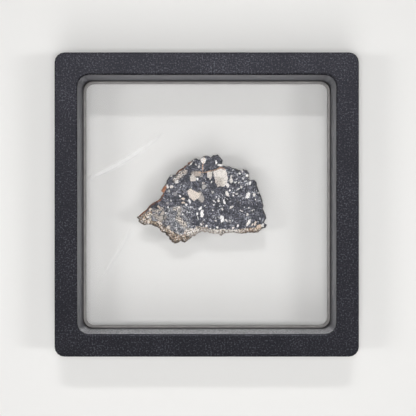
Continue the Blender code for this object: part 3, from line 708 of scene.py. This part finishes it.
def breccia_finish():
    """Lunar breccia from the inside out: melt, grains, inclusion, grit, flecks, clasts, crust and rust."""
    material, tree, shader, mm = new_finish("lunar_breccia_sawn")
    warp = add_node(
        tree, "ShaderNodeTexNoise", {"Vector": mm, "Scale": 1 / 1.1, "Detail": 4.0, "Roughness": 0.62}
    )
    place = add_node(
        tree, "ShaderNodeVectorMath", (warp.outputs["Color"], (TWIST_MM, TWIST_MM, TWIST_MM), mm),
        operation="MULTIPLY_ADD",
    )
    drift, frayed, web, grit, speck, stain, tooth = (
        add_node(
            tree, "ShaderNodeTexNoise",
            {"Vector": where, "Scale": 1 / size, "Detail": detail, "Roughness": roughness},
        )
        for where, size, detail, roughness in (
            (mm, 3.5, 2.0, 0.5),
            (mm, 0.45, 3.0, 0.5),
            (place, 1.1, 3.0, 0.65),
            (mm, GRIT_MM, 1.0, 0.5),
            (mm, SPECK_MM, 2.0, 0.6),
            (mm, 1.4, 3.0, 0.5),
            (mm, SPECK_MM, 5.0, 0.7),
        )
    )
    gap, grain, fleck, lump = (
        add_node(tree, "ShaderNodeTexVoronoi", {"Vector": place, "Scale": 1 / size}, feature=feature)
        for size, feature in (
            (GRAIN_MM, "DISTANCE_TO_EDGE"), (GRAIN_MM, "F1"), (FLECK_MM, "F1"), (CRUST_LUMP_MM, "F1")
        )
    )
    grain_value, fleck_value, lump_value = (
        add_node(tree, "ShaderNodeSeparateColor", (cell.outputs["Color"],)) for cell in (grain, fleck, lump)
    )
    field = {
        name: add_node(tree, "ShaderNodeAttribute", attribute_name=name).outputs["Fac"] for name in fields
    }
    fray = add_node(tree, "ShaderNodeMapRange", (frayed, 0.2, 0.8, -0.2, 0.2))

    def inside(name, low, high, most=1.0):
        """From 0 outside to most inside a field that is a depth in mm, with a frayed border."""
        depth = add_node(tree, "ShaderNodeMath", (field[name], fray), operation="ADD")
        return add_node(tree, "ShaderNodeMapRange", (depth, low, high, 0.0, most))

    seam = add_node(tree, "ShaderNodeMapRange", (gap, 0.0, 0.12, 0.9, 0.0))
    drifting = add_node(tree, "ShaderNodeMapRange", (drift, 0.35, 0.65))
    grain_level = add_node(tree, "ShaderNodeMix", {0: 0.35, 2: grain_value, 3: drifting}, data_type="FLOAT")
    web_level = add_node(tree, "ShaderNodeMapRange", (web, 0.3, 0.5))
    in_web = add_node(
        tree, "ShaderNodeMath", (inside("web_depth", -0.4, 0.4, 0.9), web_level), operation="MULTIPLY"
    )
    fleck_chance = add_node(
        tree, "ShaderNodeMath", (field["fleck_share"], 0.4, fleck_value), operation="MULTIPLY_ADD"
    )
    fleck_size = add_node(tree, "ShaderNodeMapRange", (fleck_chance, 0.8, 1.3, 0.0, 0.5))
    fleck_room = add_node(tree, "ShaderNodeMath", (fleck_size, fleck), operation="SUBTRACT")
    in_fleck = add_node(tree, "ShaderNodeMapRange", (fleck_room, -0.02, 0.08, 0.0, 0.9))
    speck_level = add_node(tree, "ShaderNodeMapRange", (speck, 0.48, 0.6))
    in_speck = add_node(tree, "ShaderNodeMath", (speck_level, field["stipple"]), operation="MULTIPLY")
    # Painted shade in the crevices between the crust's small lumps.
    crevice_shade = add_node(tree, "ShaderNodeMapRange", (lump, 0.45, 0.7, 0.0, 0.8))
    stain_level = add_node(
        tree, "ShaderNodeMath", (field["rust_paleness"], 0.6, stain), operation="MULTIPLY_ADD"
    )

    melt, inclusion, grit_tone, fleck_tone, feldspar, rind, rust = (
        add_node(tree, "ShaderNodeValToRGB", (level,), stops)
        for level, stops in (
            (
                grain_level,
                (
                    (0.05, "#2e2f38"), (0.35, "#484a54"), (0.6, "#61626d"), (0.8, "#7b7c85"),
                    (0.95, "#9fa0a6"),
                ),
            ),
            (web, ((0.34, "#43454c"), (0.46, "#6f7077"), (0.56, "#95969a"), (0.68, "#c5c4c4"))),
            (grit, ((0.36, "#0a0a0a"), (0.5, "#b6b6b6"), (0.64, "#ffffff"))),
            (fleck_value.outputs["Green"], ((0.0, "#9c9da4"), (0.5, "#d8d8da"), (1.0, "#ffffff"))),
            (
                field["clast_paleness"],
                ((0.3, "#82828a"), (0.6, "#b9b6b3"), (0.8, "#e4e1dd"), (0.95, "#fcfbfa")),
            ),
            (
                lump_value.outputs["Green"],
                ((0.0, "#6f6662"), (0.25, "#b0a39a"), (0.5, "#d8c2a8"), (0.75, "#f5ece5"), (1.0, "#fffaf6")),
            ),
            (
                stain_level,
                ((0.4, "#372620"), (0.55, "#6b4333"), (0.7, "#a76c4c"), (0.88, "#c59474"), (1.0, "#cfa98c")),
            ),
        )
    )
    clast = painted(
        tree, feldspar, (field["clast_warmth"], linear("#e0c4a6")), (in_speck, linear("#77716c"))
    )
    # Painted shade: the crust darkens down the edge towards the back face, less where the crust is paler.
    under_edge_shade = painted(tree, linear("#403834"), (field["crust_paleness"], linear("#a89d95")))
    crust = painted(
        tree, rind,
        (drifting, linear("#e0d7cf"), "MULTIPLY"),
        (inside("crust_paleness", 0.1, 0.9, 0.8), linear("#eee9e3")),
        (0.75, grit_tone, "OVERLAY"),
        (crevice_shade, linear("#3b342f")),
        (inside("overhang", 0.55, 0.9, 0.8), under_edge_shade),
    )
    in_crust = inside("crust_depth", -0.12, 0.12)
    surface = painted(
        tree, melt,
        (seam, linear("#2d2d36")),
        (inside("inclusion_depth", -0.5, 0.3, 0.85), inclusion),
        (in_web, linear("#c2b8ac")),
        (inside("dark_depth", -0.1, 0.1, 0.85), linear("#2c2c34")),
        (0.9, grit_tone, "OVERLAY"),
        (in_fleck, fleck_tone),
        # Partly unpolished broken rock and partly painted shade: the rough edge and a thin rim of each sawn
        # face are darker.
        (inside("broken_depth", 0.0, 0.2, 0.75), linear("#29282e")),
        (inside("clast_depth", -0.26, -0.05, 0.5), linear("#33333b")),
        (inside("clast_depth", -0.05, 0.04), clast),
        (in_crust, crust),
        (inside("rust_depth", -0.1, 0.1), rust),
    )
    dryness = add_node(tree, "ShaderNodeMapRange", (in_crust, 0.0, 1.0, 0.45, 0.85))
    relief = add_node(tree, "ShaderNodeMapRange", (in_crust, 0.0, 1.0, 0.12, 0.9))
    bump = add_node(
        tree, "ShaderNodeBump", {"Strength": relief, "Distance": 0.12 * MM, "Height": tooth}
    )
    set_inputs(
        tree, shader,
        {
            "Base Color": surface,
            "Roughness": dryness,
            "Normal": bump,
            "IOR": 1.56,
            "Specular IOR Level": 0.35,
        },
    )
    print(material.name, "has", len(tree.nodes), "nodes")
    return material


stone_finish = breccia_finish()

# %% The slice
in_place = skin * MM + np.array((0, 0, MIDDLE))
stone = put_mesh("breccia_slice", in_place, skin_quads, stone_finish, "back")
for name, values in fields.items():
    stone.data.attributes.new(name, "FLOAT", "POINT").data.foreach_set("value", values.astype(np.float32))
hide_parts("meteorite_slice")
print("fields on the slice:", ", ".join(fields))

# %% [markdown]
# Each film is an elastic skin, about a tenth of a millimetre thick, glued to a ring and pulled over the
# stone. A taut skin settles where every point is at the mean height of its neighbours. So its shape is found
# that way: the points over the stone and those under the ring are held, and all the others are averaged
# again and again, first on a coarse grid and then on finer ones.

# %% The film's shape
FILM_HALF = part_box("film_front")[1].x
FILM_CORNER = 2.8 * MM
FREE_HALF = 36.55 * MM
RAISED = HALF_THICKNESS + 0.3 * MM
FILM_FLAT = 0.15 * MM
FILM_THICKNESS = 0.15 * MM
STONE_MARGIN = 0.4 * MM
FILM_STEPS = 80
SETTLING_ROUNDS = 500


def hull_corners(points):
    """The convex hull of flat points, anticlockwise: the stretched film bridges every bay of the outline."""
    order = points[np.lexsort((points[:, 1], points[:, 0]))]

    def half_hull(sequence):
        chain = []
        for point in sequence:
            while len(chain) > 1 and np.cross(chain[-1] - chain[-2], point - chain[-2]) <= 0:
                chain.pop()
            chain.append(point)
        return chain[:-1]

    return np.array(half_hull(order) + half_hull(order[::-1]))


def rounded_square(laps, half, corner):
    """A square with round corners, read at each lap: straight sides with a quarter circle between them."""
    quarter = np.linspace(0, math.pi / 2, 17)
    arc = half - corner + corner * np.stack([np.cos(quarter), np.sin(quarter)], axis=-1)
    points = []
    for angle in np.arange(4) * math.pi / 2:
        points.append(arc @ ((math.cos(angle), math.sin(angle)), (-math.sin(angle), math.cos(angle))))
    return closed_path(np.vstack(points), laps)


def settled_film(steps, start=None):
    """Heights over a square grid, in metres: held over the stone and under the ring, and elsewhere each the
    mean of its four neighbours. The start is the result of a grid with half the steps."""
    share, lap = square_grid(steps)
    flat = rounded_square(lap.ravel(), FILM_HALF, FILM_CORNER) * share.reshape(-1, 1)
    x, y = flat.T.reshape(2, 2 * steps + 1, -1)
    over_stone = block_depth(flat, hull).reshape(x.shape) > -STONE_MARGIN
    under_ring = np.maximum(np.abs(x), np.abs(y)) > FREE_HALF
    height = np.zeros(x.shape)
    if start is not None:
        height[::2, ::2] = start
        height[1::2, ::2] = (start[1:] + start[:-1]) / 2
        height[:, 1::2] = (height[:, 2::2] + height[:, :-2:2]) / 2
    height = np.where(over_stone, RAISED - FILM_FLAT, np.where(under_ring, 0.0, height))
    free = ~(over_stone | under_ring)[1:-1, 1:-1]
    for _ in range(SETTLING_ROUNDS):
        mean = (height[2:, 1:-1] + height[:-2, 1:-1] + height[1:-1, 2:] + height[1:-1, :-2]) / 4
        height[1:-1, 1:-1] = np.where(free, mean, height[1:-1, 1:-1])
    return flat, height


hull = hull_corners(outline[:, :2] * MM)
film_height = None
for film_steps in (FILM_STEPS // 8, FILM_STEPS // 4, FILM_STEPS // 2, FILM_STEPS):
    film_flat, film_height = settled_film(film_steps, film_height)
halfway = film_height[FILM_STEPS // 2, FILM_STEPS] / MM
print("film grid:", film_height.shape, "halfway to the ring it stands", halfway.round(2), "mm up")

# %% [markdown]
# Thermoplastic polyurethane film, cast and then stretched: clear, smooth and glossy. Its index of refraction
# is near 1.5, and 1.37 is used here, because four surfaces of film one behind the other mirror away more
# light than the real ones seem to. A shadow ray can't bend, so clear solids would throw a dark shadow. The
# finish lets shadow rays and the rays of scattered light straight through with a slight loss, and shows the
# eye true refraction. Along two folds the film is painted faintly white: a painted highlight that stands in
# for the glint of light on each fold.

# %% The film's finish
CREASE_GLINT_HALF_WIDTH_MM = 0.9
CREASE_GLINTS_MM = (
    ((-64.5, 80.8), 78.0, -25.6, 12.5, 0.08),
    ((-284.9, 138.8), 300.0, -27.8, 5.5, 0.03),
)


def film_finish():
    """Clear elastic film with a painted highlight along two folds. Each fold is an arc: it is where the
    distance to the arc's centre is close to its radius, and x is close to the middle of its reach. Each row
    of the table is a centre, a radius, that middle x, the reach to each side of it, and how strong the
    painted highlight is."""
    material, tree, shader, mm = new_finish("clear_elastic_film")
    flat = add_node(tree, "ShaderNodeVectorMath", (mm, (1.0, 1.0, 0.0)), operation="MULTIPLY")
    across = add_node(tree, "ShaderNodeSeparateXYZ", (mm,))
    clearness = 1.0
    for centre, radius, middle, reach, strength in CREASE_GLINTS_MM:
        away = add_node(tree, "ShaderNodeVectorMath", (flat, (*centre, 0.0)), operation="DISTANCE")
        fades = []
        for value, target, near, far, most in (
            (away, radius, 0.0, CREASE_GLINT_HALF_WIDTH_MM, strength),
            (across, middle, 0.4 * reach, reach, 1.0),
        ):
            off = add_node(tree, "ShaderNodeMath", (value, target), operation="SUBTRACT")
            off = add_node(tree, "ShaderNodeMath", (off,), operation="ABSOLUTE")
            fades.append(add_node(tree, "ShaderNodeMapRange", (off, near, far, most, 0.0)))
        # The painted highlight along a fold: the film there is less clear and shows its white base colour.
        crease_glint = add_node(tree, "ShaderNodeMath", fades, operation="MULTIPLY")
        left = add_node(tree, "ShaderNodeMath", (1.0, crease_glint), operation="SUBTRACT")
        clearness = add_node(tree, "ShaderNodeMath", (left, clearness), operation="MULTIPLY")
    set_inputs(
        tree, shader,
        {"Base Color": linear("#ffffff"), "Roughness": 0.0, "IOR": 1.37, "Transmission Weight": clearness},
    )
    through = add_node(tree, "ShaderNodeBsdfTransparent", (linear("#fefefe"),))
    path = add_node(tree, "ShaderNodeLightPath")
    seen = shader
    for ray in ("Is Diffuse Ray", "Is Shadow Ray"):
        seen = add_node(tree, "ShaderNodeMixShader", (path.outputs[ray], seen, through))
    set_inputs(tree, tree.nodes["Material Output"], (seen,))
    print(material.name, "has", len(tree.nodes), "nodes")
    return material


clear_film = film_finish()


# %% The two films
def make_film(name, side, body, node):
    """One film: the settled skin twice, a film's thickness apart, joined round the border."""
    base = film_height.ravel() + FILM_FLAT
    inner_skin = np.column_stack([film_flat, MIDDLE + side * base])
    outer_skin = np.column_stack([film_flat, MIDDLE + side * (base + FILM_THICKNESS)])
    count = len(inner_skin)
    lower, upper = (inner_skin, outer_skin) if side > 0 else (outer_skin, inner_skin)
    quads = np.vstack([
        grid_quads(FILM_STEPS),
        grid_quads(FILM_STEPS, count, facing_up=False),
        band_quads(border(FILM_STEPS), border(FILM_STEPS, count)),
    ])
    film = put_mesh(name, np.vstack([upper, lower]), quads, clear_film, body)
    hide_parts(node)
    return film


front_film = make_film("stretched_film_front", 1, "front", "film_front")
back_film = make_film("stretched_film_back", -1, "back", "film_back")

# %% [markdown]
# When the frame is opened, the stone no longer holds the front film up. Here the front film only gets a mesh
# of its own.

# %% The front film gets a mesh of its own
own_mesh(front_film)

# %% [markdown]
# ABS, injection moulded in a mould whose outside faces were spark-eroded and whose inner walls polished:
# black with a breath of blue, dull outside, and covered there in a fine random tooth that catches the light
# as specks. The specks come partly from the tooth's bump and changing roughness, and partly are painted
# glints, the palest grey of its tone. The real tooth is 0.1 to 0.2 mm and it is drawn at 0.5 mm here,
# because anything finer wouldn't show from this distance. The inner walls are smooth; their colour is
# painted paler, a painted reflection of the light that the grazing view catches, and darker towards their
# foot by the film, a painted shade. The lowest wall, which faces the key light, carries a painted highlight
# broken up by the tooth. A point's place tells the finish where it is, so no seam has to be modelled.

# %% The frame's finish
TOOTH_MM = 0.5
CLOUD_MM = 9.0
WALL_END_MM = (38.3, 38.45)
FACE_HEIGHT_MM = (9.4, 9.55)
WALL_FOOT_SHADE_MM = (2.0, 3.4)
LOWEST_WALL_MM = (-37.3, -36.6)


def frame_finish():
    """Black ABS: a spark-eroded tooth with partly painted glints on the outside, and polished inner walls
    inside the window, with painted light and shade.
    """
    material, tree, shader, mm = new_finish("black_abs_spark_eroded")
    tooth = add_node(
        tree, "ShaderNodeTexNoise", {"Vector": mm, "Scale": 1 / TOOTH_MM, "Detail": 2.0, "Roughness": 0.75}
    )
    cloud = add_node(tree, "ShaderNodeTexNoise", {"Vector": mm, "Scale": 1 / CLOUD_MM, "Detail": 3.0})
    patchy = add_node(tree, "ShaderNodeMath", (cloud, 0.15, tooth), operation="MULTIPLY_ADD")
    # The palest grey of the tone is painted glints on the tooth; below that the tone varies at random.
    tone = add_node(
        tree, "ShaderNodeValToRGB", (patchy,),
        ((0.48, "#010102"), (0.575, "#050508"), (0.64, "#141418"), (0.72, "#46464c")),
    )
    gloss = add_node(tree, "ShaderNodeMapRange", (patchy, 0.5, 0.66, 0.54, 0.31))

    size = add_node(tree, "ShaderNodeVectorMath", (mm,), operation="ABSOLUTE")
    sides = add_node(tree, "ShaderNodeSeparateXYZ", (size,))
    farther = add_node(
        tree, "ShaderNodeMath", (sides.outputs["X"], sides.outputs["Y"]), operation="MAXIMUM"
    )
    off_wall = add_node(tree, "ShaderNodeMapRange", (farther, *WALL_END_MM))
    height = add_node(tree, "ShaderNodeMath", (sides.outputs["Z"], MIDDLE / MM), operation="SUBTRACT")
    height = add_node(tree, "ShaderNodeMath", (height,), operation="ABSOLUTE")
    on_face = add_node(tree, "ShaderNodeMapRange", (height, *FACE_HEIGHT_MM))
    outside = add_node(tree, "ShaderNodeMath", (off_wall, on_face), operation="MAXIMUM")
    on_wall = add_node(tree, "ShaderNodeMath", (1.0, outside), operation="SUBTRACT")
    # Painted shade: the walls grow darker towards their foot by the film.
    out_of_foot_shade = add_node(tree, "ShaderNodeMapRange", (height, *WALL_FOOT_SHADE_MM))

    place = add_node(tree, "ShaderNodeSeparateXYZ", (mm,))
    # Painted highlight on the lowest wall, which faces the key light, broken up by the tooth.
    lowest_wall_highlight = add_node(tree, "ShaderNodeMapRange", (place.outputs["Y"], *LOWEST_WALL_MM, 1.0, 0.0))
    highlight_breakup = add_node(tree, "ShaderNodeMapRange", (tooth, 0.4, 0.62, 0.25, 1.0))
    for share in (on_wall, highlight_breakup, out_of_foot_shade):
        lowest_wall_highlight = add_node(tree, "ShaderNodeMath", (lowest_wall_highlight, share), operation="MULTIPLY")
    # The walls are painted paler, a painted reflection, and darker at the foot, a painted shade.
    wall_light_and_shade = painted(tree, linear("#1b1b20"), (out_of_foot_shade, linear("#4b4c54")))
    surface = painted(tree, tone, (on_wall, wall_light_and_shade), (lowest_wall_highlight, linear("#d6d6da")))
    roughness = add_node(tree, "ShaderNodeMix", {0: outside, 2: 0.3, 3: gloss}, data_type="FLOAT")
    relief = add_node(tree, "ShaderNodeMath", (outside, 0.8), operation="MULTIPLY")
    bump = add_node(
        tree, "ShaderNodeBump", {"Strength": relief, "Distance": 0.12 * MM, "Height": tooth}
    )
    set_inputs(
        tree, shader,
        {
            "Base Color": surface,
            "Roughness": roughness,
            "Normal": bump,
            "IOR": 1.5,
            "Specular Tint": linear("#ececff"),
        },
    )
    print(material.name, "has", len(tree.nodes), "nodes")
    return material


black_abs = frame_finish()

# %% [markdown]
# The ring that holds each film is polypropylene, moulded smooth, with a soft gloss and faint flow marks.
# Its lip is painted mid grey, a painted highlight along the edge of the window, and the flange behind it,
# which the frame hides, is painted dark, a painted shade in the gap beside the lip. The hinge pins are drawn
# steel wire, with fine lines along the wire from the die.

# %% The ring's and the pins' finishes
LIP_ARC_CENTRE_MM = 34.45
LIP_END_MM = (2.88, 2.98)
FLOW_MM = 4.0
DIE_LINE_MM = 0.08


def ring_finish():
    """Polypropylene with faint flow marks: the lip is painted grey, a painted highlight, and the flange
    dark, a painted shade. The lip ends where the distance from a smaller square, whose corners are the
    centres of the ring's arcs, reaches a set value, and the flange begins there."""
    material, tree, shader, mm = new_finish("polypropylene_lip_highlight_flange_shade")
    flow = add_node(
        tree, "ShaderNodeTexNoise", {"Vector": mm, "Scale": 1 / FLOW_MM, "Detail": 4.0, "Distortion": 0.6}
    )
    # The lip's mid grey is a painted highlight along the window's edge, with faint flow marks in it.
    tone = add_node(tree, "ShaderNodeValToRGB", (flow,), ((0.3, "#8d8a89"), (0.7, "#a29f9d")))
    past = add_node(tree, "ShaderNodeVectorMath", (mm,), operation="ABSOLUTE")
    square = (LIP_ARC_CENTRE_MM, LIP_ARC_CENTRE_MM, 99.0)
    past = add_node(tree, "ShaderNodeVectorMath", (past, square), operation="SUBTRACT")
    past = add_node(tree, "ShaderNodeVectorMath", (past, (0.0, 0.0, 0.0)), operation="MAXIMUM")
    past = add_node(tree, "ShaderNodeVectorMath", (past,), operation="LENGTH")
    # Painted shade: the flange in the gap behind the lip is dark.
    flange = add_node(tree, "ShaderNodeMapRange", (past, *LIP_END_MM))
    lip_light_flange_shade = painted(tree, tone, (flange, linear("#2a2828")))
    set_inputs(tree, shader, {"Base Color": lip_light_flange_shade, "Roughness": 0.38, "IOR": 1.49})
    return material


def pin_finish():
    """Drawn steel wire: a metal with fine lines along Y, the direction of the hinge."""
    material, tree, shader, mm = new_finish("drawn_steel_wire")
    stretch = add_node(tree, "ShaderNodeMapping", {"Vector": mm, "Scale": (1.0, 0.05, 1.0)})
    lines = add_node(
        tree, "ShaderNodeTexNoise", {"Vector": stretch, "Scale": 1 / DIE_LINE_MM, "Detail": 2.0}
    )
    tone = add_node(tree, "ShaderNodeValToRGB", (lines,), ((0.3, "#9a9a9c"), (0.7, "#c6c6c8")))
    set_inputs(tree, shader, {"Base Color": tone, "Metallic": 1.0, "Roughness": 0.3})
    return material


finishes = {"frame": black_abs, "film_ring": ring_finish(), "hinge_pin": pin_finish()}
for name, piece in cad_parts.items():
    for start, finish in finishes.items():
        if name.startswith(start) and not piece.hide_render:
            piece.data.materials.clear()
            piece.data.materials.append(finish)
            print(name, "is finished in", finish.name)

# %% [markdown]
# The frame lies on a sheet of matt white paper. The floor isn't part of the object.

# %% Floor
FLOOR_HALF = 1.5
FLOOR_CORNER = 0.2
FLOOR_COLOUR = "#ecebe9"
floor_finish, floor_tree, floor_shader, _ = new_finish("matt_white_paper")
paper = {"Base Color": linear(FLOOR_COLOUR), "Roughness": 0.9, "Specular IOR Level": 0.1}
set_inputs(floor_tree, floor_shader, paper)
floor_share, floor_lap = square_grid(2)
floor_flat = rounded_square(floor_lap.ravel(), FLOOR_HALF, FLOOR_CORNER) * floor_share.reshape(-1, 1)
floor_points = np.column_stack([floor_flat, np.zeros(len(floor_flat))])
floor = put_mesh("paper_floor", floor_points, grid_quads(2), floor_finish)

# %% [markdown]
# The light is soft studio light from six panels and a dim pale surround. A panel can be two lamps: its light
# falls on everything and isn't mirrored, and its gloss is only mirrored. The films are left out of the
# gloss, as a photographer tilts a lamp until its glare leaves the film. Each panel is described by how far
# it leans from straight overhead, its distance, its size, and its shares of the light on the floor.

# %% Lights
FLOOR_LEVEL = linear("#f0f0ef")[0]
TOTAL_LIGHT = FLOOR_LEVEL * math.pi / linear(FLOOR_COLOUR)[0]
SURROUND_SHARE = 0.09

beyond_gloss = bpy.data.collections.new("films_beyond_gloss")
for film in (front_film, back_film):
    beyond_gloss.objects.link(film)
for linked in beyond_gloss.collection_objects:
    linked.light_linking.link_state = "EXCLUDE"


def soft_panel(name, lean, distance, size, light=0.0, gloss=0.0):
    """A rectangular panel aimed at the object, as one lamp for its light and one for its gloss. The light on
    the floor is power * cos / (pi * distance²), so each lamp's power comes from its share of the total."""
    direction = np.array((*lean, 1.0)) / math.hypot(*lean, 1.0)
    for role, share in (("light", light), ("gloss", gloss)):
        if share == 0:
            continue
        panel = bpy.data.lights.new(f"{name}_{role}", "AREA")
        panel.shape = "RECTANGLE"
        panel.size, panel.size_y = size
        panel.energy = share * TOTAL_LIGHT * math.pi * distance**2 / direction[2]
        lamp = bpy.data.objects.new(panel.name, panel)
        bpy.context.scene.collection.objects.link(lamp)
        lamp.location = direction * distance
        lamp.rotation_euler = lamp.location.to_track_quat("Z", "Y").to_euler()
        lamp.visible_transmission = False
        if role == "light":
            lamp.visible_glossy = False
        else:
            lamp.visible_diffuse = False
            lamp.light_linking.receiver_collection = beyond_gloss
        print(lamp.name, "gives", round(100 * share), "percent with", round(panel.energy, 2), "W")


soft_panel("key_panel", (0.0, 0.56), 0.9, (0.14, 0.05), light=0.145, gloss=0.11)
soft_panel("sheen_panel", (0.0, 0.5), 0.9, (0.14, 0.08), gloss=0.22)
soft_panel("left_panel", (-0.62, -0.06), 0.8, (0.07, 0.22), light=0.125, gloss=0.17)
soft_panel("right_panel", (0.62, -0.06), 0.8, (0.07, 0.22), light=0.15, gloss=0.16)
soft_panel("fill_panel", (0.0, -0.54), 0.8, (0.35, 0.5), light=0.27)
soft_panel("over_panel", (0.0, -0.02), 0.3, (0.03, 0.03), light=0.28)

# %% Surround
world = bpy.data.worlds.new("pale_surround")
bpy.context.scene.world = world
world.use_nodes = True
sky = world.node_tree
surround_level = SURROUND_SHARE * TOTAL_LIGHT / math.pi
glow = sky.nodes["Background"]
set_inputs(sky, glow, ((surround_level, surround_level, surround_level, 1.0),))
backdrop = add_node(sky, "ShaderNodeBackground", (linear("#e4e4e3"),))
sight = add_node(sky, "ShaderNodeLightPath")
shown = add_node(sky, "ShaderNodeMixShader", (sight.outputs["Is Camera Ray"], glow, backdrop))
set_inputs(sky, sky.nodes["World Output"], (shown,))
bpy.context.scene.view_settings.view_transform = "Standard"
print("surround level", round(surround_level, 3))

# %% [markdown]
# The camera looks straight down, a third of a metre up, with its own up side towards +Y. Its field is 123 mm
# wide at the frame's front face, which is 90 mm wide there.

# %% Camera
CAMERA_PLACE = (0.00038, -0.00103, 0.327)
FIELD_AT_FACE = 0.1229
SENSOR_MM = 36.0
camera_data = bpy.data.cameras.new("camera")
camera_data.sensor_width = SENSOR_MM
camera_data.lens = SENSOR_MM * (CAMERA_PLACE[2] - face_top) / FIELD_AT_FACE
camera_data.clip_start = 0.01
camera = bpy.data.objects.new("camera", camera_data)
bpy.context.scene.collection.objects.link(camera)
camera.location = CAMERA_PLACE
bpy.context.scene.camera = camera
print("lens", round(camera_data.lens, 1), "mm")
